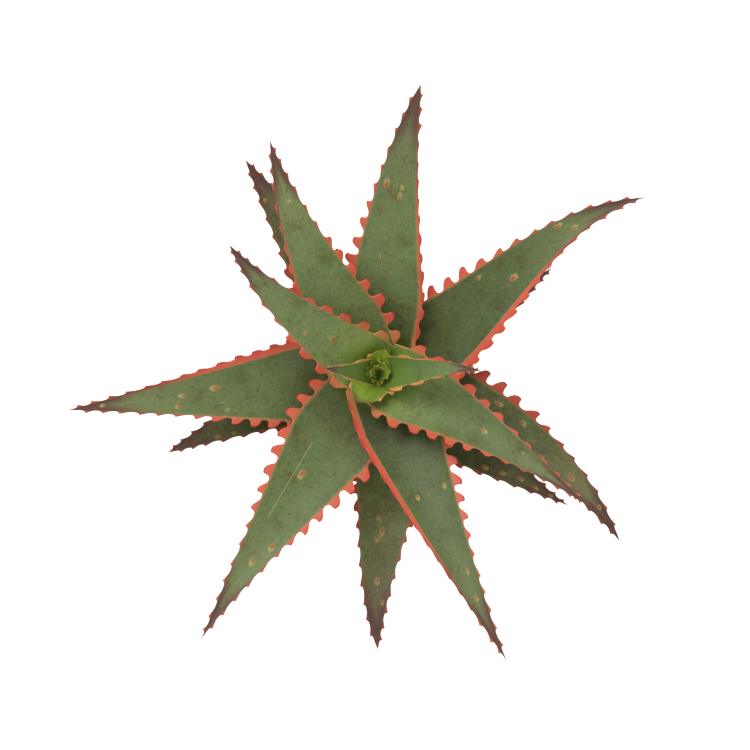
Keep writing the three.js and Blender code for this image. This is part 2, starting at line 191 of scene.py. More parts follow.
class Finish:
    """A procedural material being put together, node by node."""

    def __init__(self, name, roughness):
        self.material = bpy.data.materials.new(name)
        self.material.use_nodes = True
        self.tree = self.material.node_tree
        self.shader = self.tree.nodes["Principled BSDF"]
        self.shader.inputs["Roughness"].default_value = roughness

    def node(self, kind, **inputs):
        made = self.tree.nodes.new(kind)
        for key, value in inputs.items():
            self.feed(made, key, value)
        return made

    def feed(self, node, key, value):
        socket = node.inputs[key.replace("_", " ")] if isinstance(key, str) else node.inputs[key]
        if isinstance(value, bpy.types.NodeSocket):
            self.tree.links.new(value, socket)
        else:
            socket.default_value = value

    def attribute(self, name):
        made = self.tree.nodes.new("ShaderNodeAttribute")
        made.attribute_name = name
        return made.outputs["Fac"]

    def math(self, operation, a, b=0.0, clamp=False):
        made = self.tree.nodes.new("ShaderNodeMath")
        made.operation, made.use_clamp = operation, clamp
        self.feed(made, 0, a)
        self.feed(made, 1, b)
        return made.outputs[0]

    def times(self, a, b):
        return self.math("MULTIPLY", a, b)

    def plus(self, a, b):
        return self.math("ADD", a, b)

    def blend(self, amount, under, over, how="MIX"):
        made = self.tree.nodes.new("ShaderNodeMix")
        made.data_type, made.blend_type = "RGBA", how
        self.feed(made, 0, amount)
        self.feed(made, 6, under)
        self.feed(made, 7, over)
        return made.outputs[2]

    def step(self, value, low, high):
        """0 below low, 1 above high, smooth between."""
        made = self.tree.nodes.new("ShaderNodeMapRange")
        made.interpolation_type = "SMOOTHSTEP"
        self.feed(made, "Value", value)
        self.feed(made, "From Min", low)
        self.feed(made, "From Max", high)
        return made.outputs["Result"]

    def vector(self, x, y, z=0.0):
        return self.node("ShaderNodeCombineXYZ", X=x, Y=y, Z=z).outputs[0]

    def noise(self, place, scale, detail=3.0, roughness=0.5):
        made = self.node("ShaderNodeTexNoise", Vector=place, Scale=scale, Detail=detail, Roughness=roughness)
        return made.outputs["Fac"]

    def object_place(self):
        return self.tree.nodes.new("ShaderNodeTexCoord").outputs["Object"]

    def bump(self, height, distance, strength=0.5):
        made = self.node("ShaderNodeBump", Height=height, Strength=strength, Distance=distance)
        self.tree.links.new(made.outputs["Normal"], self.shader.inputs["Normal"])

    def colour(self, value):
        self.feed(self.shader, "Base Color", value)


def srgb(red, green, blue):
    """A colour given as screen values from 0 to 255."""
    linear = []
    for c in (red, green, blue):
        linear.append(c / 255 / 12.92 if c <= 10.3 else ((c / 255 + 0.055) / 1.055) ** 2.4)
    return (*linear, 1.0)


# Colours of the leaves' flesh, spots and teeth.
HUES = {
    "pale_cloud": srgb(104, 127, 78),
    "dark_cloud": srgb(82, 84, 42),
    "dark_streak": srgb(62, 66, 32),
    "pale_vein": srgb(128, 132, 84),
    "pale_mottle": srgb(124, 131, 68),
    "dark_mottle": srgb(66, 66, 36),
    "pale_fleck": srgb(144, 146, 84),
    "dark_fleck": srgb(50, 56, 24),
    "unopened": srgb(152, 178, 50),
    "underside": srgb(120, 132, 80),
    "purple_point": srgb(92, 56, 52),
    "point_bloom": srgb(130, 94, 88),
    "red_tip": srgb(182, 78, 46),
    "pale_speck": srgb(172, 174, 120),
    "spot_halo": srgb(176, 168, 98),
    "spot_core": srgb(172, 72, 42),
    "scar": srgb(158, 158, 96),
    "margin_line": srgb(160, 140, 84),
    "bruised_tooth": srgb(104, 56, 50),
    "pale_tooth": srgb(228, 168, 100),
    "bud_tooth": srgb(142, 166, 66),
    "shadow": srgb(52, 38, 26),
}
HEART_REACH = 30 * MM  # how far out from the growing point the flesh stays young


def leaf_finish(name, blade, young, tooth, dim):
    """Waxy leaf flesh: colour along the blade, coral margin and teeth, a purple-brown point and spots."""
    made = Finish(name, 0.46)
    along, across = made.attribute("along"), made.attribute("across")
    run, side = made.attribute("run_mm"), made.attribute("side_mm")
    under, thorn = made.attribute("under"), made.attribute("thorn")
    spread = made.node("ShaderNodeSeparateXYZ", Vector=made.object_place())
    north = made.math("SUBTRACT", spread.outputs["Y"], CROWN.y)
    east_square, north_square = made.math("POWER", spread.outputs["X"], 2), made.math("POWER", north, 2)
    far = made.math("SQRT", made.plus(east_square, north_square))
    heart = made.math("SUBTRACT", 1, made.math("DIVIDE", far, HEART_REACH), clamp=True)

    blade_place = made.vector(run, side, made.times(under, 7))
    cloud = made.noise(blade_place, 0.09, 4)
    mottle = made.noise(blade_place, 0.42, 5, 0.68)
    fleck = made.noise(blade_place, 1.1, 5, 0.7)
    streak = made.noise(made.vector(made.times(run, 0.07), side), 1.5, 4, 0.65)
    vein = made.noise(made.vector(made.times(run, 0.02), side), 3.2, 2, 0.5)

    inner, middle, outer = blade
    # Heel to middle to outer colour. In the upper and low tiers the darker heel colour is painted shade where
    # the leaves' bases overlap.
    flesh = made.blend(made.step(along, 0.05, 0.4), inner, middle)
    flesh = made.blend(made.step(along, 0.45, 0.85), flesh, outer)
    flesh = made.blend(made.times(made.step(cloud, 0.48, 0.7), 0.6), flesh, HUES["pale_cloud"])
    flesh = made.blend(made.times(made.step(cloud, 0.5, 0.3), 0.55), flesh, HUES["dark_cloud"])
    flesh = made.blend(made.times(made.step(streak, 0.48, 0.75), 0.2), flesh, HUES["dark_streak"])
    flesh = made.blend(made.times(made.step(vein, 0.55, 0.8), 0.14), flesh, HUES["pale_vein"])
    flesh = made.blend(made.times(made.step(mottle, 0.52, 0.7), 0.5), flesh, HUES["pale_mottle"])
    flesh = made.blend(made.times(made.step(mottle, 0.48, 0.3), 0.6), flesh, HUES["dark_mottle"])
    flesh = made.blend(made.times(made.step(fleck, 0.52, 0.7), 0.42), flesh, HUES["pale_fleck"])
    flesh = made.blend(made.times(made.step(fleck, 0.47, 0.3), 0.5), flesh, HUES["dark_fleck"])
    # Each leaf's tone from TONES multiplies the flesh. A heel tone below 1 is painted shade under the leaves
    # above.
    tone = made.attribute("tone")
    tint = made.node("ShaderNodeCombineColor", Red=tone, Green=tone, Blue=tone).outputs[0]
    flesh = made.blend(1.0, flesh, tint, "MULTIPLY")
    lively = made.plus(heart, made.times(cloud, 0.3))
    flesh = made.blend(made.step(lively, 0.5, 0.95), flesh, young)
    fresh = made.times(made.attribute("fresh"), made.step(streak, 0.2, 0.7))
    flesh = made.blend(made.times(fresh, 0.92), flesh, HUES["unopened"])
    flesh = made.blend(made.times(under, 0.3), flesh, HUES["underside"])

    ragged = made.plus(made.times(streak, 0.12), made.times(mottle, 0.16))
    edgeward = made.times(made.math("ABSOLUTE", across), 0.1)
    point = made.step(made.plus(made.plus(along, ragged), edgeward), 0.93, 1.08)
    point = made.times(point, made.step(heart, 0.66, 0.45))
    flesh = made.blend(made.times(point, 0.9), flesh, HUES["purple_point"])
    patchy_point = made.times(point, made.step(mottle, 0.5, 0.7))
    flesh = made.blend(made.times(patchy_point, 0.5), flesh, HUES["point_bloom"])
    flesh = made.blend(made.step(along, 0.972, 0.99), flesh, HUES["red_tip"])

    speck = made.step(made.noise(blade_place, 1.7, 1, 0.4), 0.735, 0.78)
    flesh = made.blend(made.times(speck, 0.6), flesh, HUES["pale_speck"])

    u, v = made.attribute("spot_u"), made.attribute("spot_v")
    rough_edge = made.times(made.math("SUBTRACT", mottle, 0.5), 2.4)
    core = made.math("SQRT", made.plus(made.math("POWER", u, 2), made.math("POWER", v, 2)))
    u_halo = made.math("SUBTRACT", u, 0.35)
    halo = made.math("SQRT", made.plus(made.math("POWER", u_halo, 2), made.math("POWER", v, 2)))
    halo = made.plus(halo, rough_edge)
    flesh = made.blend(made.times(made.step(halo, 1.25, 0.7), 0.7), flesh, HUES["spot_halo"])
    core = made.plus(core, made.times(rough_edge, 0.6))
    flesh = made.blend(made.times(made.step(core, 0.85, 0.3), 0.85), flesh, HUES["spot_core"])

    scar = made.math("ABSOLUTE", made.attribute("scar_mm"))
    scar = made.plus(scar, made.times(made.math("SUBTRACT", fleck, 0.4), 0.9))
    flesh = made.blend(made.times(made.step(scar, 0.5, 0.15), 0.7), flesh, HUES["scar"])

    width = made.math("ABSOLUTE", across)
    wobble = made.times(made.math("SUBTRACT", made.noise(made.vector(run, 0), 0.3, 3), 0.5), 0.05)
    rim = made.plus(made.math("SUBTRACT", width, made.attribute("band")), wobble)
    flesh = made.blend(made.times(made.step(rim, -0.05, 0.0), 0.5), flesh, HUES["margin_line"])
    margin = made.math("MAXIMUM", made.step(rim, -0.012, 0.012), made.step(thorn, 0.01, 0.08))
    base, body, end = tooth
    fleshy = made.math("MAXIMUM", made.step(thorn, 0.0, 0.4), made.step(rim, 0.012, 0.045))
    horn = made.blend(fleshy, base, body)
    horn = made.blend(made.times(made.step(fleck, 0.5, 0.75), 0.35), horn, base)
    horn = made.blend(made.step(thorn, 0.8, 1.0), horn, end)
    bruise = made.times(made.step(along, 0.5, 0.78), made.step(thorn, 0.6, 0.1))
    horn = made.blend(made.times(bruise, 0.75), horn, HUES["bruised_tooth"])
    pale = made.step(made.plus(heart, made.times(cloud, 0.2)), 0.32, 0.78)
    horn = made.blend(made.times(pale, 0.9), horn, HUES["pale_tooth"])
    horn = made.blend(made.times(made.step(heart, 0.76, 0.88), 0.75), horn, HUES["bud_tooth"])
    flesh = made.blend(margin, flesh, horn)
    # Painted shadow: with dim below 1 the whole leaf is blended towards a dark shadow colour, for the low
    # tier lying under the others.
    if dim < 1:
        flesh = made.blend(1 - dim, flesh, HUES["shadow"])
    made.colour(flesh)

    shader = made.shader
    shader.inputs["Specular IOR Level"].default_value = 0.3
    shader.inputs["Subsurface Weight"].default_value = 0.1
    shader.inputs["Subsurface Radius"].default_value = (0.9, 0.6, 0.25)
    shader.inputs["Subsurface Scale"].default_value = 0.002
    rough = made.plus(made.times(fleck, 0.2), 0.36)
    made.feed(shader, "Roughness", rough)
    relief = made.plus(made.times(streak, 0.7), made.times(fleck, 0.5))
    made.bump(made.plus(relief, made.times(vein, 0.4)), 0.3 * MM, 0.6)
    return made.material


def mix_finish(name, dark, light, scale, roughness=0.95):
    """Potting mix, bark, grit or perlite: a grainy two-tone finish."""
    made = Finish(name, roughness)
    place = made.object_place()
    coarse = made.noise(place, scale, 6, 0.7)
    fine = made.noise(place, 5 * scale, 4, 0.7)
    made.colour(made.blend(made.step(coarse, 0.35, 0.7), dark, light))
    made.bump(made.plus(coarse, fine), 0.6 * MM, 0.8)
    made.shader.inputs["Specular IOR Level"].default_value = 0.25
    return made.material


def stem_finish():
    """Dry fibrous stem and roots."""
    made = Finish("stem_fibre", 0.85)
    place = made.object_place()
    long_grain = made.node("ShaderNodeMapping", Vector=place, Scale=(1.0, 1.0, 0.15)).outputs[0]
    grain = made.noise(long_grain, 900, 5, 0.65)
    patch = made.noise(place, 160, 3)
    shade = made.blend(made.step(grain, 0.35, 0.7), srgb(96, 74, 44), srgb(176, 148, 98))
    shade = made.blend(made.times(made.step(patch, 0.5, 0.7), 0.6), shade, srgb(120, 118, 66))
    height = made.node("ShaderNodeSeparateXYZ", Vector=place).outputs["Z"]
    fresh = made.step(height, STEM_HIGH.z - 16 * MM, STEM_HIGH.z - 7 * MM)
    made.colour(made.blend(fresh, shade, srgb(118, 140, 44)))
    made.bump(grain, 0.5 * MM, 0.8)
    return made.material


def pot_finish():
    """Moulded terracotta-coloured plastic: faint mottling, fine satin grain, dust and mix stains."""
    made = Finish("pot_moulded_plastic", 0.5)
    place = made.object_place()
    mottle = made.noise(place, 45, 3)
    grain = made.noise(place, 1600, 2)
    height = made.node("ShaderNodeSeparateXYZ", Vector=place).outputs["Z"]
    dust = made.noise(place, 220, 6, 0.7)
    shade = made.blend(made.step(mottle, 0.3, 0.75), srgb(158, 88, 62), srgb(176, 102, 74))
    grime = made.times(made.step(height, 0.012, 0.0), made.step(dust, 0.42, 0.7))
    shade = made.blend(made.times(grime, 0.45), shade, srgb(92, 66, 50))
    shade = made.blend(made.times(made.step(dust, 0.6, 0.8), 0.25), shade, srgb(196, 148, 122))
    made.colour(shade)
    made.feed(made.shader, "Roughness", made.plus(made.times(dust, 0.22), 0.36))
    made.shader.inputs["Specular IOR Level"].default_value = 0.45
    made.bump(made.plus(grain, made.times(mottle, 0.5)), 0.12 * MM, 0.35)
    return made.material


# ---- Leaves -----------------------------------------------------------------------------------------------


def leaf_rings(mesh):
    """Reads the leaf's build: its rings of eight points from heel to tip, the teeth's points, heel and tip.

    In every ring point 0 is the left margin's upper corner, 1 the channel, 2 and 3 the right margin, 5 the
    keel and 7 the left margin's lower corner.
    """
    thorns = {v for v in mesh.verts if len(v.link_edges) == 4}
    poles = [v for v in mesh.verts if len(v.link_edges) == 8]
    poles.sort(key=lambda v: (v.co.xy - CROWN.xy).length)
    heel, tip = poles[0], poles[-1]

    levels, seen = [[tip]], {tip} | thorns
    while True:
        following = []
        for vertex in levels[-1]:
            for edge in vertex.link_edges:
                other = edge.other_vert(vertex)
                if other not in seen:
                    seen.add(other)
                    following.append(other)
        if not following:
            break
        levels.append(following)
    rings = levels[-2:0:-1]  # heel and tip left out, heel end first
    assert all(len(ring) == 8 for ring in rings)

    start = min(range(len(rings) - 1), key=lambda k: margin_sharpness(rings[k]))
    ordered = {start: label_ring(rings, start)}
    for k in range(start + 1, len(rings)):
        ordered[k] = carry_labels(ordered[k - 1], rings[k], forward=True)
    for k in range(start - 1, -1, -1):
        ordered[k] = carry_labels(ordered[k + 1], rings[k], forward=False)
    return [ordered[k] for k in range(len(rings))], thorns, heel, tip


def round_the_ring(ring):
    """The ring's points in order, and its sides from short to long."""
    members = set(ring)
    cycle = [ring[0]]
    while len(cycle) < 8:
        beside = [e.other_vert(cycle[-1]) for e in cycle[-1].link_edges]
        cycle.append(next(v for v in beside if v in members and v not in cycle))
    return cycle, sorted(((cycle[i].co - cycle[(i + 1) % 8].co).length, i) for i in range(8))


def margin_sharpness(ring):
    """Small where the two margins, three sides apart, are far shorter than the other sides."""
    sides = round_the_ring(ring)[1]
    apart = abs(sides[0][1] - sides[1][1])
    return sides[1][0] / sides[2][0] if apart in (3, 5) else 9.0


def label_ring(rings, k):
    """One ring put in order: its two shortest sides are the margins, and the channel is alone between them.

    Every ring runs counterclockwise round the leaf's own direction of growth.
    """
    cycle, sides = round_the_ring(rings[k])
    first, second = sorted(i for _, i in sides[:2])
    channel = (first + 2) % 8 if second - first == 3 else (second + 2) % 8
    middle = sum((v.co for v in cycle), Vector()) / 8
    onward = sum((v.co for v in rings[k + 1]), Vector()) / 8
    facing = sum(((cycle[i - 1].co - middle).cross(cycle[i].co - middle) for i in range(8)), Vector())
    turn = 1 if facing.dot(onward - middle) > 0 else -1
    return [cycle[(channel + turn * (i - 1)) % 8] for i in range(8)]


def carry_labels(labelled, ring, forward):
    """The next ring's points in the same order: each has one rail to its twin and may have a diagonal too."""
    found = [None] * 8
    for vertex in ring:
        beside = {e.other_vert(vertex) for e in vertex.link_edges}
        touched = [i for i, v in enumerate(labelled) if v in beside]
        if len(touched) == 1:
            found[touched[0]] = vertex
        else:
            a, b = touched
            later = b if (a + 1) % 8 == b else a
            earlier = a if later == b else b
            found[later if forward else earlier] = vertex
    assert None not in found
    return found


# Rails along the skin, round the leaf from the left margin: the two CAD rails each lies between, the share
# of the way from the first to the second, how far across the blade it is, and 1 where it is on the underside.
RAILS = (
    (0, 1, 0.0, 1.0, 0), (0, 1, 0.1, 0.9, 0), (0, 1, 0.5, 0.5, 0), (1, 1, 0.0, 0.0, 0),
    (2, 1, 0.5, -0.5, 0), (2, 1, 0.1, -0.9, 0), (2, 2, 0.0, -1.0, 0),
    (3, 3, 0.0, -1.0, 1), (3, 4, 0.3, -0.9, 1), (4, 4, 0.0, -0.6, 1), (5, 5, 0.0, 0.0, 1),
    (6, 6, 0.0, 0.6, 1), (7, 6, 0.3, 0.9, 1), (7, 7, 0.0, 1.0, 1),
)
MARGIN_RAILS = {"left": (0, 13), "right": (6, 7)}  # upper and lower rail of each margin
GAP_SHARES = (0.0, 0.16, 0.84)  # cross-sections kept in each gap, so a tooth can rise steeply from the margin
# A tooth's two levels above its base: heel side, tip side, height and thickness, as shares of its base.
BLUNT_TOOTH = ((0.15, 0.97, 0.52, 0.85), (0.5, 1.02, 1.0, 0.5))
FINE_TOOTH = ((0.34, 0.84, 0.5, 0.7), (0.68, 0.84, 1.0, 0.3))
TIP_THORN = 1.2 * MM  # the small teeth that go on up the point of a full-grown leaf
NOTCH = 0.6  # how sharp the corners between two blunt teeth stay
TIP_THORN_REACH = 80 * MM  # length of leaf at which they have that size
LEAF_NOTES = ("along", "across", "run_mm", "side_mm", "under", "thorn")


def eased(points, k, share):
    """A point on the smooth curve through a row of points, a share of the way from point k to the next."""
    last = len(points) - 1
    p1, p2 = points[k], points[min(k + 1, last)]
    p0 = points[k - 1] if k > 0 else p1 + (p1 - p2)
    p3 = points[k + 2] if k + 2 <= last else p2 + (p2 - p1)
    t = share
    return 0.5 * (
        2 * p1 + (p2 - p0) * t + (2 * p0 - 5 * p1 + 4 * p2 - p3) * t * t + (3 * p1 - p0 - 3 * p2 + p3) * t**3
    )


def closer_rings(rings, gap):
    """The rings with one more halfway in each gap from this gap on, where the teeth stand closer together."""
    made = rings[: gap + 1]
    for k in range(gap, len(rings) - 1):
        made.append([eased([ring[i] for ring in rings], k, 0.5) for i in range(8)])
        made.append(rings[k + 1])
    return made


def skin_rows(rings):
    """Rows of rail points from heel to tip, each row with its distance along the leaf and its half width."""
    places = []
    for ring in rings:
        hollow = ring[1] - 0.5 * (ring[0] + ring[2])
        row = []
        for first, second, share, across, under in RAILS:
            place = ring[first].lerp(ring[second], share)
            if not under and 0 < abs(across) < 1:
                place = place + hollow * (1 - across * across - (1 - abs(across)))
            row.append(place)
        places.append(row)
    rows, runs = [], []
    centres = [sum(ring, Vector()) / 8 for ring in rings]
    travelled = 0.0
    for k in range(len(rings)):
        onward = (centres[k + 1] - centres[k]).length if k + 1 < len(rings) else 0.0
        for share in GAP_SHARES if k + 1 < len(rings) else (0.0,):
            rows.append([eased([row[j] for row in places], k, share) for j in range(len(RAILS))])
            runs.append(travelled + share * onward)
        travelled += onward
    halves = [0.5 * (row[0] - row[6]).length for row in rows]
    return rows, runs, halves


def grow_leaf(name, rings, teeth, heel, tip, sizes=(1.0, 1.0)):
    """A leaf's skin as one smooth closed body, from its rings, the points of its teeth, its heel and its tip.

    Each tooth is (gap, side, point): it stands on the margin between ring gap and the next, on that side.
    """
    teeth = sorted(teeth, key=lambda tooth: tooth[0])
    first_bare = teeth[-1][0] + 1
    rings = closer_rings(rings, first_bare)
    for gap in range(first_bare, len(rings) - 2):
        side, corners, way = (("left", (0, 7), 1), ("right", (2, 3), -1))[gap % 2]
        root = sum((rings[k][i] for k in (gap, gap + 1) for i in corners), Vector()) / 4
        aside = (rings[gap][0] - rings[gap][2]).normalized() * way
        teeth.append((gap, side, root + aside * TIP_THORN * min(1.0, (tip - heel).length / TIP_THORN_REACH)))
    rows, runs, halves = skin_rows(rings)
    whole = runs[-1] + (tip - sum(rings[-1], Vector()) / 8).length
    skin = bmesh.new()
    for key in LEAF_NOTES + ("crease_vert",):
        skin.verts.layers.float.new(key)
    layer = {key: skin.verts.layers.float[key] for key in LEAF_NOTES + ("crease_vert",)}

    def point(place, run, across, half, under, thorn=0.0, sharp=0.0):
        vertex = skin.verts.new(place)
        values = (run / whole, across, run / MM, across * half / MM, under, thorn)
        for key, value in zip(LEAF_NOTES, values):
            vertex[layer[key]] = value
        vertex[layer["crease_vert"]] = sharp
        return vertex

    grid = []
    for row, run, half in zip(rows, runs, halves):
        grid.append([point(p, run, r[3], half, r[4]) for p, r in zip(row, RAILS)])
    heel_point = point(heel, 0.0, 0.0, 0.0, 0.5)
    tip_point = point(tip, whole, 0.0, 0.0, 0.0, sharp=0.8)

    toothed = {}
    for gap, side, apex in teeth:
        start, end = max(3 * gap - 1, 0), min(3 * gap + 4, len(grid) - 1)
        toothed.update({(row, side): True for row in range(start, end)})
        place = 0.5 * (runs[start] + runs[end]) / whole
        full = 1 - fade(place, 0.42, 0.68)
        size = sizes[0] if side == "left" else sizes[1]
        for row in (start, end):
            for rail in MARGIN_RAILS[side]:
                grid[row][rail][layer["crease_vert"]] = NOTCH * full
        add_tooth(skin, grid, MARGIN_RAILS[side], start, end, apex, point, runs, halves, full, size)

    count = len(RAILS)
    for i in range(len(grid) - 1):
        for j in range(count):
            side = {13: "left", 6: "right"}.get(j)
            if side and (i, side) in toothed:
                continue
            following = (j + 1) % count
            skin.faces.new((grid[i][j], grid[i][following], grid[i + 1][following], grid[i + 1][j]))
    for j in range(count):
        following = (j + 1) % count
        skin.faces.new((heel_point, grid[0][following], grid[0][j]))
        skin.faces.new((tip_point, grid[-1][j], grid[-1][following]))
    bmesh.ops.recalc_face_normals(skin, faces=skin.faces[:])
    for face in skin.faces:
        face.smooth = True

    mesh = bpy.data.meshes.new(name)
    skin.to_mesh(mesh)
    skin.free()
    piece = bpy.data.objects.new(name, mesh)
    bpy.context.scene.collection.objects.link(piece)
    smooth = piece.modifiers.new("rounding", "SUBSURF")
    smooth.levels = smooth.render_levels = LEAF_SMOOTHING
    apply_modifiers(piece)
    return piece, whole


def fade(value, low, high):
    """0 below low, 1 above high, smooth between."""
    share = min(1.0, max(0.0, (value - low) / (high - low)))
    return share * share * (3 - 2 * share)


def add_tooth(skin, grid, rails, start, end, apex, point, runs, halves, full, size):
    """A tooth on rows start to end of one margin, hooked towards the tip.

    It is fleshy and blunt where full is 1 and a fine thorn where it is 0.
    """
    upper, lower = rails
    across = 1.0 if upper == 0 else -1.0
    first = 0.5 * (grid[start][upper].co + grid[start][lower].co)
    last = 0.5 * (grid[end][upper].co + grid[end][lower].co)
    base = last - first
    onward = base.normalized()
    middle = 0.5 * (first + last)
    outward = apex - middle
    outward = outward - onward * outward.dot(onward)
    least = min(1.2 * MM, 0.9 * base.length)
    height = max(least, size * outward.length * (0.42 + 0.58 * full)) * random.uniform(0.8, 0.98)
    outward.normalize()
    half_thick = 0.25 * (
        grid[start][upper].co - grid[start][lower].co + grid[end][upper].co - grid[end][lower].co
    )
    columns = end - start
    below = [(grid[row][upper], grid[row][lower]) for row in range(start, end + 1)]
    slip = random.uniform(-0.06, 0.04)
    for number in (0, 1):
        heel_side, tip_side, rise, thick = (
            fine + (blunt - fine) * full for fine, blunt in zip(FINE_TOOTH[number], BLUNT_TOOTH[number])
        )
        level = []
        for c in range(columns + 1):
            u = heel_side + (tip_side - heel_side) * c / columns + slip * (number + 1)
            crest = rise * (1 - 0.12 * (2 * c / columns - 1) ** 2)
            centre = first + base * u + outward * height * crest
            run = runs[start] + (runs[end] - runs[start]) * u
            half = halves[start] + (halves[end] - halves[start]) * u
            thorn, sharp = 0.5 * (number + 1), number * (0.75 + 0.2 * (1 - full))
            level.append(tuple(
                point(centre + half_thick * thick * way, run, across, half, under, thorn, sharp)
                for way, under in ((1, 0.0), (-1, 1.0))
            ))
        for c in range(columns):
            for layer in (0, 1):
                skin.faces.new((below[c][layer], below[c + 1][layer], level[c + 1][layer], level[c][layer]))
        for c in (0, columns):
            skin.faces.new((below[c][0], below[c][1], level[c][1], level[c][0]))
        below = level
    for c in range(columns):
        skin.faces.new((below[c][0], below[c + 1][0], below[c + 1][1], below[c][1]))


def refine_leaf(name):
    """One of the plant's leaves, grown over the rings of its CAD leaf."""
    draft = copy_of_node(name, name + "_draft")
    mesh = bmesh.new()
    mesh.from_mesh(draft.data)
    rings, thorns, heel, tip = leaf_rings(mesh)
    ring_of = {vertex: k for k, ring in enumerate(rings) for vertex in ring}
    place_of = {vertex: i for ring in rings for i, vertex in enumerate(ring)}
    teeth = []
    for vertex in thorns:
        corners = [e.other_vert(vertex) for e in vertex.link_edges]
        side = "left" if {place_of[c] for c in corners} == {0, 7} else "right"
        teeth.append((min(ring_of[c] for c in corners), side, vertex.co.copy()))
    places = [[v.co.copy() for v in ring] for ring in rings]
    sizes = TOOTH_SIZES.get(name, (1.0, 1.0))
    piece, whole = grow_leaf(name + "_grown", places, teeth, heel.co.copy(), tip.co.copy(), sizes)
    mesh.free()
    bpy.data.objects.remove(draft)
    mark_leaf(piece, name, whole)
    return piece


def mark_leaf(piece, name, whole, fresh=0.0):
    """Raises the oval blisters and notes, for the finish, each point's place on the nearest spot and scar.

    spot_u and spot_v are the distances along and across from the nearest spot, 1 at its rim; scar_mm is the
    distance across from the leaf's scar; band is how far out the green reaches before the coloured margin;
    fresh is 1 on the bright flesh of unopened leaves.
    """
    mesh = piece.data
    count = len(mesh.vertices)
    column = {}
    for key in ("run_mm", "across", "side_mm", "under"):
        column[key] = [0.0] * count
        mesh.attributes[key].data.foreach_get("value", column[key])
    spots = []
    for along, across, length in SPOTS.get(name, ()):
        run = along * whole / MM
        near = [i for i in range(count) if abs(column["run_mm"][i] - run) < 1.5 and column["under"][i] < 0.5]
        half = max(abs(column["side_mm"][i]) for i in near)
        spots.append((run, across * half, length))
    wide_left, wide_right = WIDE_MARGINS.get(name, (0.0, 0.0))
    scar = SCARS.get(name)
    notes = {"spot_u": [], "spot_v": [], "scar_mm": [], "band": [], "tone": []}
    heel_tone, middle_tone, outer_tone = TONES.get(name, (1.0, 1.0, 1.0))
    lifts = []
    for i in range(count):
        run, side = column["run_mm"][i], column["side_mm"][i]
        nearest, u, v = 81.0, 9.0, 0.0
        if column["under"][i] < 0.3:
            for spot_run, spot_side, length in spots:
                du, dv = (run - spot_run) / (0.55 * length), (side - spot_side) / (0.32 * length)
                if du * du + dv * dv < nearest:
                    nearest, u, v = du * du + dv * dv, du, dv
        notes["spot_u"].append(u)
        notes["spot_v"].append(v)
        lifts.append(0.35 * MM * max(0.0, 1 - nearest / 1.6) if nearest < 1.6 else 0.0)
        away = 9.0
        if scar and scar[0] <= run / (whole / MM) <= scar[2] and column["under"][i] < 0.5:
            share = (run / (whole / MM) - scar[0]) / (scar[2] - scar[0])
            away = side - (scar[1] + (scar[3] - scar[1]) * share)
        notes["scar_mm"].append(away)
        share = run / (whole / MM)
        # Tone from heel to tip. A heel tone below 1 is painted shade under the leaves above.
        tone = heel_tone + (middle_tone - heel_tone) * fade(share, 0.1, 0.42)
        tone += (outer_tone - tone) * fade(share, 0.42, 0.75)
        notes["tone"].append(tone**2.2)
        notes["band"].append(0.972 - (wide_left if column["across"][i] > 0 else wide_right))
    notes["fresh"] = [fresh] * count
    for key, values in notes.items():
        mesh.attributes.new(key, "FLOAT", "POINT").data.foreach_set("value", values)
    normals = [vertex.normal.copy() for vertex in mesh.vertices]
    for vertex, normal, lift in zip(mesh.vertices, normals, lifts):
        swell = 0.14 * MM * noise.noise(vertex.co * 130) + 0.05 * MM * noise.noise(vertex.co * 420)
        vertex.co += normal * (lift + swell)


def bud_leaf(name, bearing, reach, sink, rise, width, blunt):
    """An unopened leaf or a sheath at the growing point, clasping the stem's neck, with small pale teeth.

    Its rings have the same eight points as a CAD leaf's. sink is how far below the stem's top it starts; a
    blunt one keeps its width nearly to its end.
    """
    outward = Vector((math.cos(math.radians(bearing)), math.sin(math.radians(bearing)), 0))
    left = Vector((0, 0, 1)).cross(outward)
    count = 8

    def midline(share):
        out = 0.6 * MM + reach * share**1.4
        return CROWN + outward * out + Vector((0, 0, STEM_HIGH.z - sink + rise * share))

    rings, teeth = [], []
    for k in range(count):
        share = k / count
        place = midline(share)
        along = (midline(share + 0.01) - midline(share)).normalized()
        up = along.cross(left)
        half = 0.5 * width * (1 - share**2) ** blunt * (0.6 + 0.4 * min(1.0, 3 * share))
        curl = half * (0.6 - 0.3 * share)
        thick = 1.3 * MM * (1 - 0.7 * share)
        edge = 0.6 * MM * (1 - 0.5 * share)
        left_edge, right_edge = place + left * half + up * curl, place - left * half + up * curl
        flanks = [place + left * (0.6 * half * way) + up * (0.3 * curl - thick) for way in (-1, 1)]
        rings.append([
            left_edge, place, right_edge, right_edge - up * edge,
            flanks[0], place - up * thick, flanks[1], left_edge - up * edge,
        ])
        if 0 < k < count - 1:
            side, way = ("left", 1) if k % 2 else ("right", -1)
            root = midline((k + 0.5) / count) + left * (half * 0.93 * way) + up * curl
            teeth.append((k, side, root + left * ((0.8 * MM + 0.09 * width) * way) + along * 0.8 * MM))
    heel = midline(0) - Vector((0, 0, 1.5 * MM))
    tip = midline(1.0) + Vector((0, 0, 0.4 * MM))
    piece, whole = grow_leaf(name, rings, teeth, heel, tip)
    mark_leaf(piece, name, whole, fresh=1.0)
    return piece


# ---- Pot --------------------------------------------------------------------------------------------------


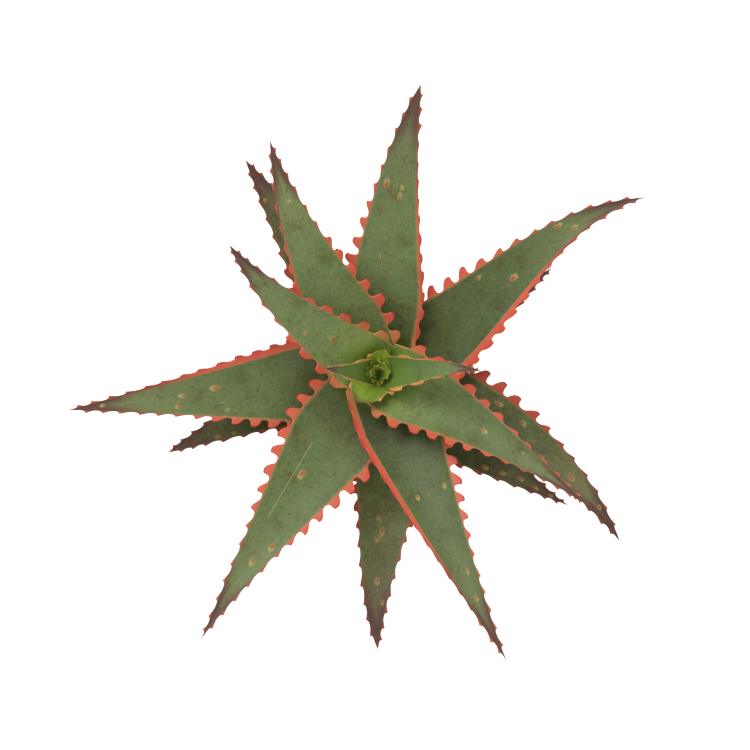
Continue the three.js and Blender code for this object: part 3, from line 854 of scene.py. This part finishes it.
def pot_piece():
    """The pot, spun from its wall's section, then drilled."""
    rim, top = POT_HIGH.x, POT_HIGH.z
    base, wall, floor = POT_BASE, POT_WALL, POT_FLOOR
    inner_top = rim - RIM_STEP - wall

    def inner(z):
        return base - wall + (inner_top - base + wall) * z / top

    foot = top - RIM_DROP
    section = [
        (0.0, 0.0),
        (base - 3 * MM, 0.0),
        (base - 2.4 * MM, 0.5 * MM),
        (base - 1.8 * MM, 0.0),
        (base - 0.5 * MM, 0.0),
        (base, 0.5 * MM),
        (inner(6 * MM) + wall, 6 * MM),
        (inner(foot - 9 * MM) + wall, foot - 9 * MM),
        (inner(foot - 8.4 * MM) + wall + 0.5 * MM, foot - 8.4 * MM),
        (inner(foot - 1 * MM) + wall + 0.5 * MM, foot - 1 * MM),
        (inner(foot) + wall + 0.9 * MM, foot - 0.2 * MM),
        (rim - 0.6 * MM, foot + 0.2 * MM),
        (rim - 0.1 * MM, foot + 0.7 * MM),
        (rim - 0.3 * MM, foot + 4 * MM),
        (rim - 0.3 * MM, top - 3 * MM),
        (rim, top - 2 * MM),
        (rim, top - 0.9 * MM),
        (rim - 0.5 * MM, top - 0.2 * MM),
        (rim - 1.2 * MM, top),
        (inner_top + 0.6 * MM, top),
        (inner_top + 0.1 * MM, top - 0.4 * MM),
        (inner(60 * MM), 60 * MM),
        (inner(floor + 2 * MM), floor + 2 * MM),
        (inner(floor) - 1.5 * MM, floor),
        (0.0, floor),
    ]
    deselect_all()
    mesh = bpy.data.meshes.new("pot_shell")
    mesh.from_pydata([(x, 0.0, z) for x, z in section], [(i, i + 1) for i in range(len(section) - 1)], [])
    piece = bpy.data.objects.new("pot_shell", mesh)
    bpy.context.scene.collection.objects.link(piece)
    make_active(piece)
    bpy.ops.object.mode_set(mode="EDIT")
    bpy.ops.mesh.select_all(action="SELECT")
    bpy.ops.mesh.spin(steps=96, angle=2 * math.pi, center=(0, 0, 0), axis=(0, 0, 1))
    bpy.ops.mesh.select_all(action="SELECT")
    bpy.ops.mesh.remove_doubles(threshold=0.02 * MM)
    bpy.ops.mesh.normals_make_consistent(inside=False)
    bpy.ops.object.mode_set(mode="OBJECT")

    for i in range(DRAIN_HOLES):
        angle = i * math.pi / (DRAIN_HOLES / 2)
        deselect_all()
        bpy.ops.mesh.primitive_cylinder_add(
            radius=DRAIN_RADIUS, depth=DRILL_LENGTH, vertices=24,
            location=(DRAIN_RING * math.cos(angle), DRAIN_RING * math.sin(angle), 0),
        )
        drill = bpy.context.object
        cut = piece.modifiers.new("drain_hole", "BOOLEAN")
        cut.operation, cut.object, cut.solver = "DIFFERENCE", drill, "EXACT"
        apply_modifiers(piece)
        bpy.data.objects.remove(drill)
    make_active(piece)
    bpy.ops.object.shade_smooth_by_angle(angle=math.radians(35))
    return piece


# ---- Potting mix and stem ---------------------------------------------------------------------------------


def mix_surface_height(x, y):
    """The mix's lumpy top, between the wall and the stem."""
    share = min(1.0, math.hypot(x, y) / MIX_HIGH.x)
    swell = (MIX_HIGH.z - 1.0 * MM) - 2.0 * MM * share**2
    lump = noise.fractal(Vector((x, y, 0.3)) * 160, 0.8, 2.0, 4) * 0.9 * MM
    return swell + lump


def select_top(piece):
    """Selects, in edit mode, the faces that look up."""
    bpy.ops.mesh.select_all(action="DESELECT")
    shape = bmesh.from_edit_mesh(piece.data)
    for face in shape.faces:
        face.select = face.normal.z > 0.9
    bmesh.update_edit_mesh(piece.data)


def mix_piece():
    """The mix as a solid plug whose top is lumpy."""
    low, high = MIX_LOW.z, MIX_HIGH.z - 2.4 * MM
    deselect_all()
    bpy.ops.mesh.primitive_cylinder_add(
        radius=MIX_HIGH.x, depth=high - low, vertices=96, location=(0, 0, 0.5 * (low + high))
    )
    piece = bpy.context.object
    piece.name = "mix_plug"
    bpy.ops.object.transform_apply(location=True, rotation=True, scale=True)
    bpy.ops.object.mode_set(mode="EDIT")
    select_top(piece)
    for thickness in (1.5, 2) + 10 * (2.4,):
        bpy.ops.mesh.inset(thickness=thickness * MM, depth=0)
    bpy.ops.mesh.poke()
    bpy.ops.object.mode_set(mode="OBJECT")
    for vertex in piece.data.vertices:
        if vertex.co.z < low + 1 * MM:
            ratio = MIX_FOOT_RADIUS / MIX_HIGH.x
            vertex.co.x *= ratio
            vertex.co.y *= ratio
    make_active(piece)
    bpy.ops.object.mode_set(mode="EDIT")
    select_top(piece)
    bpy.ops.mesh.subdivide(number_cuts=2)
    bpy.ops.object.mode_set(mode="OBJECT")
    for vertex in piece.data.vertices:
        if vertex.co.z > high - 0.01 * MM and math.hypot(vertex.co.x, vertex.co.y) < MIX_HIGH.x - 0.8 * MM:
            vertex.co.z = mix_surface_height(vertex.co.x, vertex.co.y)
    make_active(piece)
    bpy.ops.object.shade_smooth()
    return piece


def scatter_crumbs(name, count, size, flatness, roundness):
    """Loose crumbs on the mix: one is modelled, then set down many times, turned and sized by chance."""
    deselect_all()
    bpy.ops.mesh.primitive_ico_sphere_add(subdivisions=1 if roundness < 0.5 else 2, radius=1.0)
    crumb = bpy.context.object
    copies = []
    for i in range(count):
        reach = (MIX_HIGH.x - CRUMB_WALL_GAP) * math.sqrt(random.random())
        turn = random.uniform(0, 2 * math.pi)
        x, y = reach * math.cos(turn), reach * math.sin(turn)
        if math.hypot(x - CROWN.x, y - CROWN.y) < CRUMB_STEM_GAP:
            continue
        big = random.uniform(*size) * MM
        mesh = crumb.data.copy()
        spin_z, tilt = random.uniform(0, 6.28), random.uniform(-0.5, 0.5)
        seed = Vector((i * 1.7, 3.1, 0))
        for vertex in mesh.vertices:
            p = vertex.co.copy()
            p *= 1 + (1 - roundness) * 0.7 * noise.noise(p * 1.3 + seed)
            p = Vector((p.x * random_scale(i, 1), p.y * random_scale(i, 2), p.z * flatness)) * big
            p.rotate(Vector((math.sin(tilt), 0, math.cos(tilt))).to_track_quat("Z", "Y"))
            c, s = math.cos(spin_z), math.sin(spin_z)
            seat = mix_surface_height(x, y) + p.z + 0.25 * big * flatness
            vertex.co = (x + c * p.x - s * p.y, y + s * p.x + c * p.y, seat)
        made = bpy.data.objects.new(f"{name}_{i}", mesh)
        bpy.context.scene.collection.objects.link(made)
        copies.append(made)
    bpy.data.objects.remove(crumb)
    deselect_all()
    for made in copies:
        made.select_set(True)
    bpy.context.view_layer.objects.active = copies[0]
    bpy.ops.object.join()
    piece = bpy.context.object
    piece.name = name
    if roundness < 0.5:
        bpy.ops.object.shade_flat()
    else:
        bpy.ops.object.shade_smooth()
    return piece


def random_scale(i, salt):
    """A crumb's stretch on one axis, from 0.75 to 1.25, the same each time."""
    return 0.75 + 0.5 * (0.5 + 0.5 * math.sin(i * 12.9 + salt * 4.7))


def stem_piece():
    """Stem and roots, remeshed from the CAD solid into one fibrous body."""
    piece = copy_of_node("crown_stem", "stem_and_roots")
    remesh = piece.modifiers.new("skin", "REMESH")
    remesh.mode, remesh.voxel_size = "VOXEL", 0.7 * MM
    smooth = piece.modifiers.new("soften", "SMOOTH")
    smooth.iterations, smooth.factor = 4, 0.5
    apply_modifiers(piece)
    for vertex in piece.data.vertices:
        p = vertex.co
        ringing = math.sin(p.z / (1.1 * MM)) * 0.12 * MM if p.z > MIX_HIGH.z else 0.0
        vertex.co = p + vertex.normal * (ringing + 0.25 * MM * noise.noise(p * 700) - 0.2 * MM)
    make_active(piece)
    bpy.ops.object.shade_smooth()
    return piece


# ---- The plant in its pot ---------------------------------------------------------------------------------

# The sheaths and unopened leaves round the growing point: bearing, then reach, depth below the stem's top
# where they start, rise and width in mm, and how pointed they are.
BUDS = (
    (236, 14, 3, 9, 19, 0.45),
    (70, 9, 3, 11, 14, 0.5),
    (192, 4.5, 2, 10, 10, 0.7),
    (2, 5, 2, 11, 10, 0.7),
    (110, 2.2, 1, 14, 5, 1.0),
)
# Blade colours at the heel, middle and outer part of each tier. The darker heels of the upper and low tiers
# are painted shade where the bases overlap. The low tier's blade, young flesh and tooth colours are darker
# copies of the upper tier's, painted shade from the leaves above it.
BLADE = {
    "upper": (srgb(86, 96, 58), srgb(102, 118, 70), srgb(120, 130, 82)),
    "low": (srgb(62, 66, 36), srgb(88, 94, 56), srgb(108, 104, 70)),
    "heart": (srgb(108, 134, 58), srgb(100, 124, 70), srgb(102, 120, 78)),
}
YOUNG = {"upper": srgb(122, 150, 50), "low": srgb(96, 120, 50), "heart": srgb(108, 138, 62)}
TOOTH = {
    "upper": (srgb(190, 112, 76), srgb(212, 92, 68), srgb(160, 48, 38)),
    "low": (srgb(164, 88, 62), srgb(188, 74, 56), srgb(116, 38, 30)),
    "heart": (srgb(204, 156, 92), srgb(216, 116, 76), srgb(170, 64, 46)),
}
# Painted shadow: the low tier is blended 15 % towards the shadow colour, as it lies under the upper leaves.
DIM = {"upper": 1.0, "low": 0.85, "heart": 1.0}

for tier in ("upper", "low", "heart"):
    finish = leaf_finish("leaf_" + tier, BLADE[tier], YOUNG[tier], TOOTH[tier], DIM[tier])
    for leaf_name in TIER[tier]:
        finish_piece(refine_leaf(leaf_name), finish, [leaf_name])
    if tier == "heart":
        for number, (bearing, reach, sink, rise, width, blunt) in enumerate(BUDS, start=1):
            bud = bud_leaf(f"bud_leaf_{number}", bearing, reach * MM, sink * MM, rise * MM, width * MM, blunt)
            finish_piece(bud, finish)

finish_piece(stem_piece(), stem_finish(), ["crown_stem"])
finish_piece(pot_piece(), pot_finish(), ["pot"])
peat = mix_finish("peat", srgb(34, 24, 17), srgb(84, 62, 44), 420)
finish_piece(mix_piece(), peat, ["potting_mix"])
bark = mix_finish("bark", srgb(62, 40, 26), srgb(128, 88, 58), 350)
perlite = mix_finish("perlite", srgb(206, 202, 192), srgb(240, 238, 230), 600)
grit = mix_finish("grit", srgb(92, 84, 74), srgb(156, 146, 130), 500, 0.8)
finish_piece(scatter_crumbs("bark_chips", 260, (0.9, 2.4), 0.4, 0.2), bark)
finish_piece(scatter_crumbs("perlite_beads", 150, (0.5, 1.3), 0.85, 0.7), perlite)
finish_piece(scatter_crumbs("grit_grains", 260, (0.4, 1.0), 0.8, 0.3), grit)

# ---- Floor, light and camera ------------------------------------------------------------------------------


def pale_floor():
    deselect_all()
    bpy.ops.mesh.primitive_plane_add(size=6.0, location=(0, 0, 0))
    floor = bpy.context.object
    floor.name = "floor"
    made = Finish("pale_floor", 0.7)
    made.colour((0.92, 0.92, 0.92, 1))
    made.shader.inputs["Emission Color"].default_value = (1, 1, 1, 1)
    made.shader.inputs["Emission Strength"].default_value = 0.6
    floor.data.materials.append(made.material)


def soft_panel(name, place, aim, size, power):
    light = bpy.data.lights.new(name, "AREA")
    light.shape, light.size, light.energy = "SQUARE", size, power
    lamp = bpy.data.objects.new(name, light)
    lamp.location = place
    lamp.rotation_mode = "QUATERNION"
    lamp.rotation_quaternion = (Vector(aim) - Vector(place)).to_track_quat("-Z", "Y")
    bpy.context.scene.collection.objects.link(lamp)


def studio():
    world = bpy.data.worlds.new("studio")
    world.use_nodes = True
    world.node_tree.nodes["Background"].inputs["Color"].default_value = (1, 1, 1, 1)
    world.node_tree.nodes["Background"].inputs["Strength"].default_value = 0.6
    bpy.context.scene.world = world
    soft_panel("key_panel", (-0.7, 0.9, 1.5), (0, 0, 0.1), 0.9, 18)
    soft_panel("fill_panel", (0.9, -0.6, 1.2), (0, 0, 0.1), 1.2, 4)
    bpy.context.scene.view_settings.view_transform = "Standard"


def top_camera():
    camera_data = bpy.data.cameras.new("camera")
    camera_data.lens = CAMERA_LENS
    camera_data.clip_end = 20
    camera = bpy.data.objects.new("camera", camera_data)
    camera.location = (*CAMERA_PLACE, CAMERA_HEIGHT)
    bpy.context.scene.collection.objects.link(camera)
    bpy.context.scene.camera = camera


pale_floor()
studio()
top_camera()
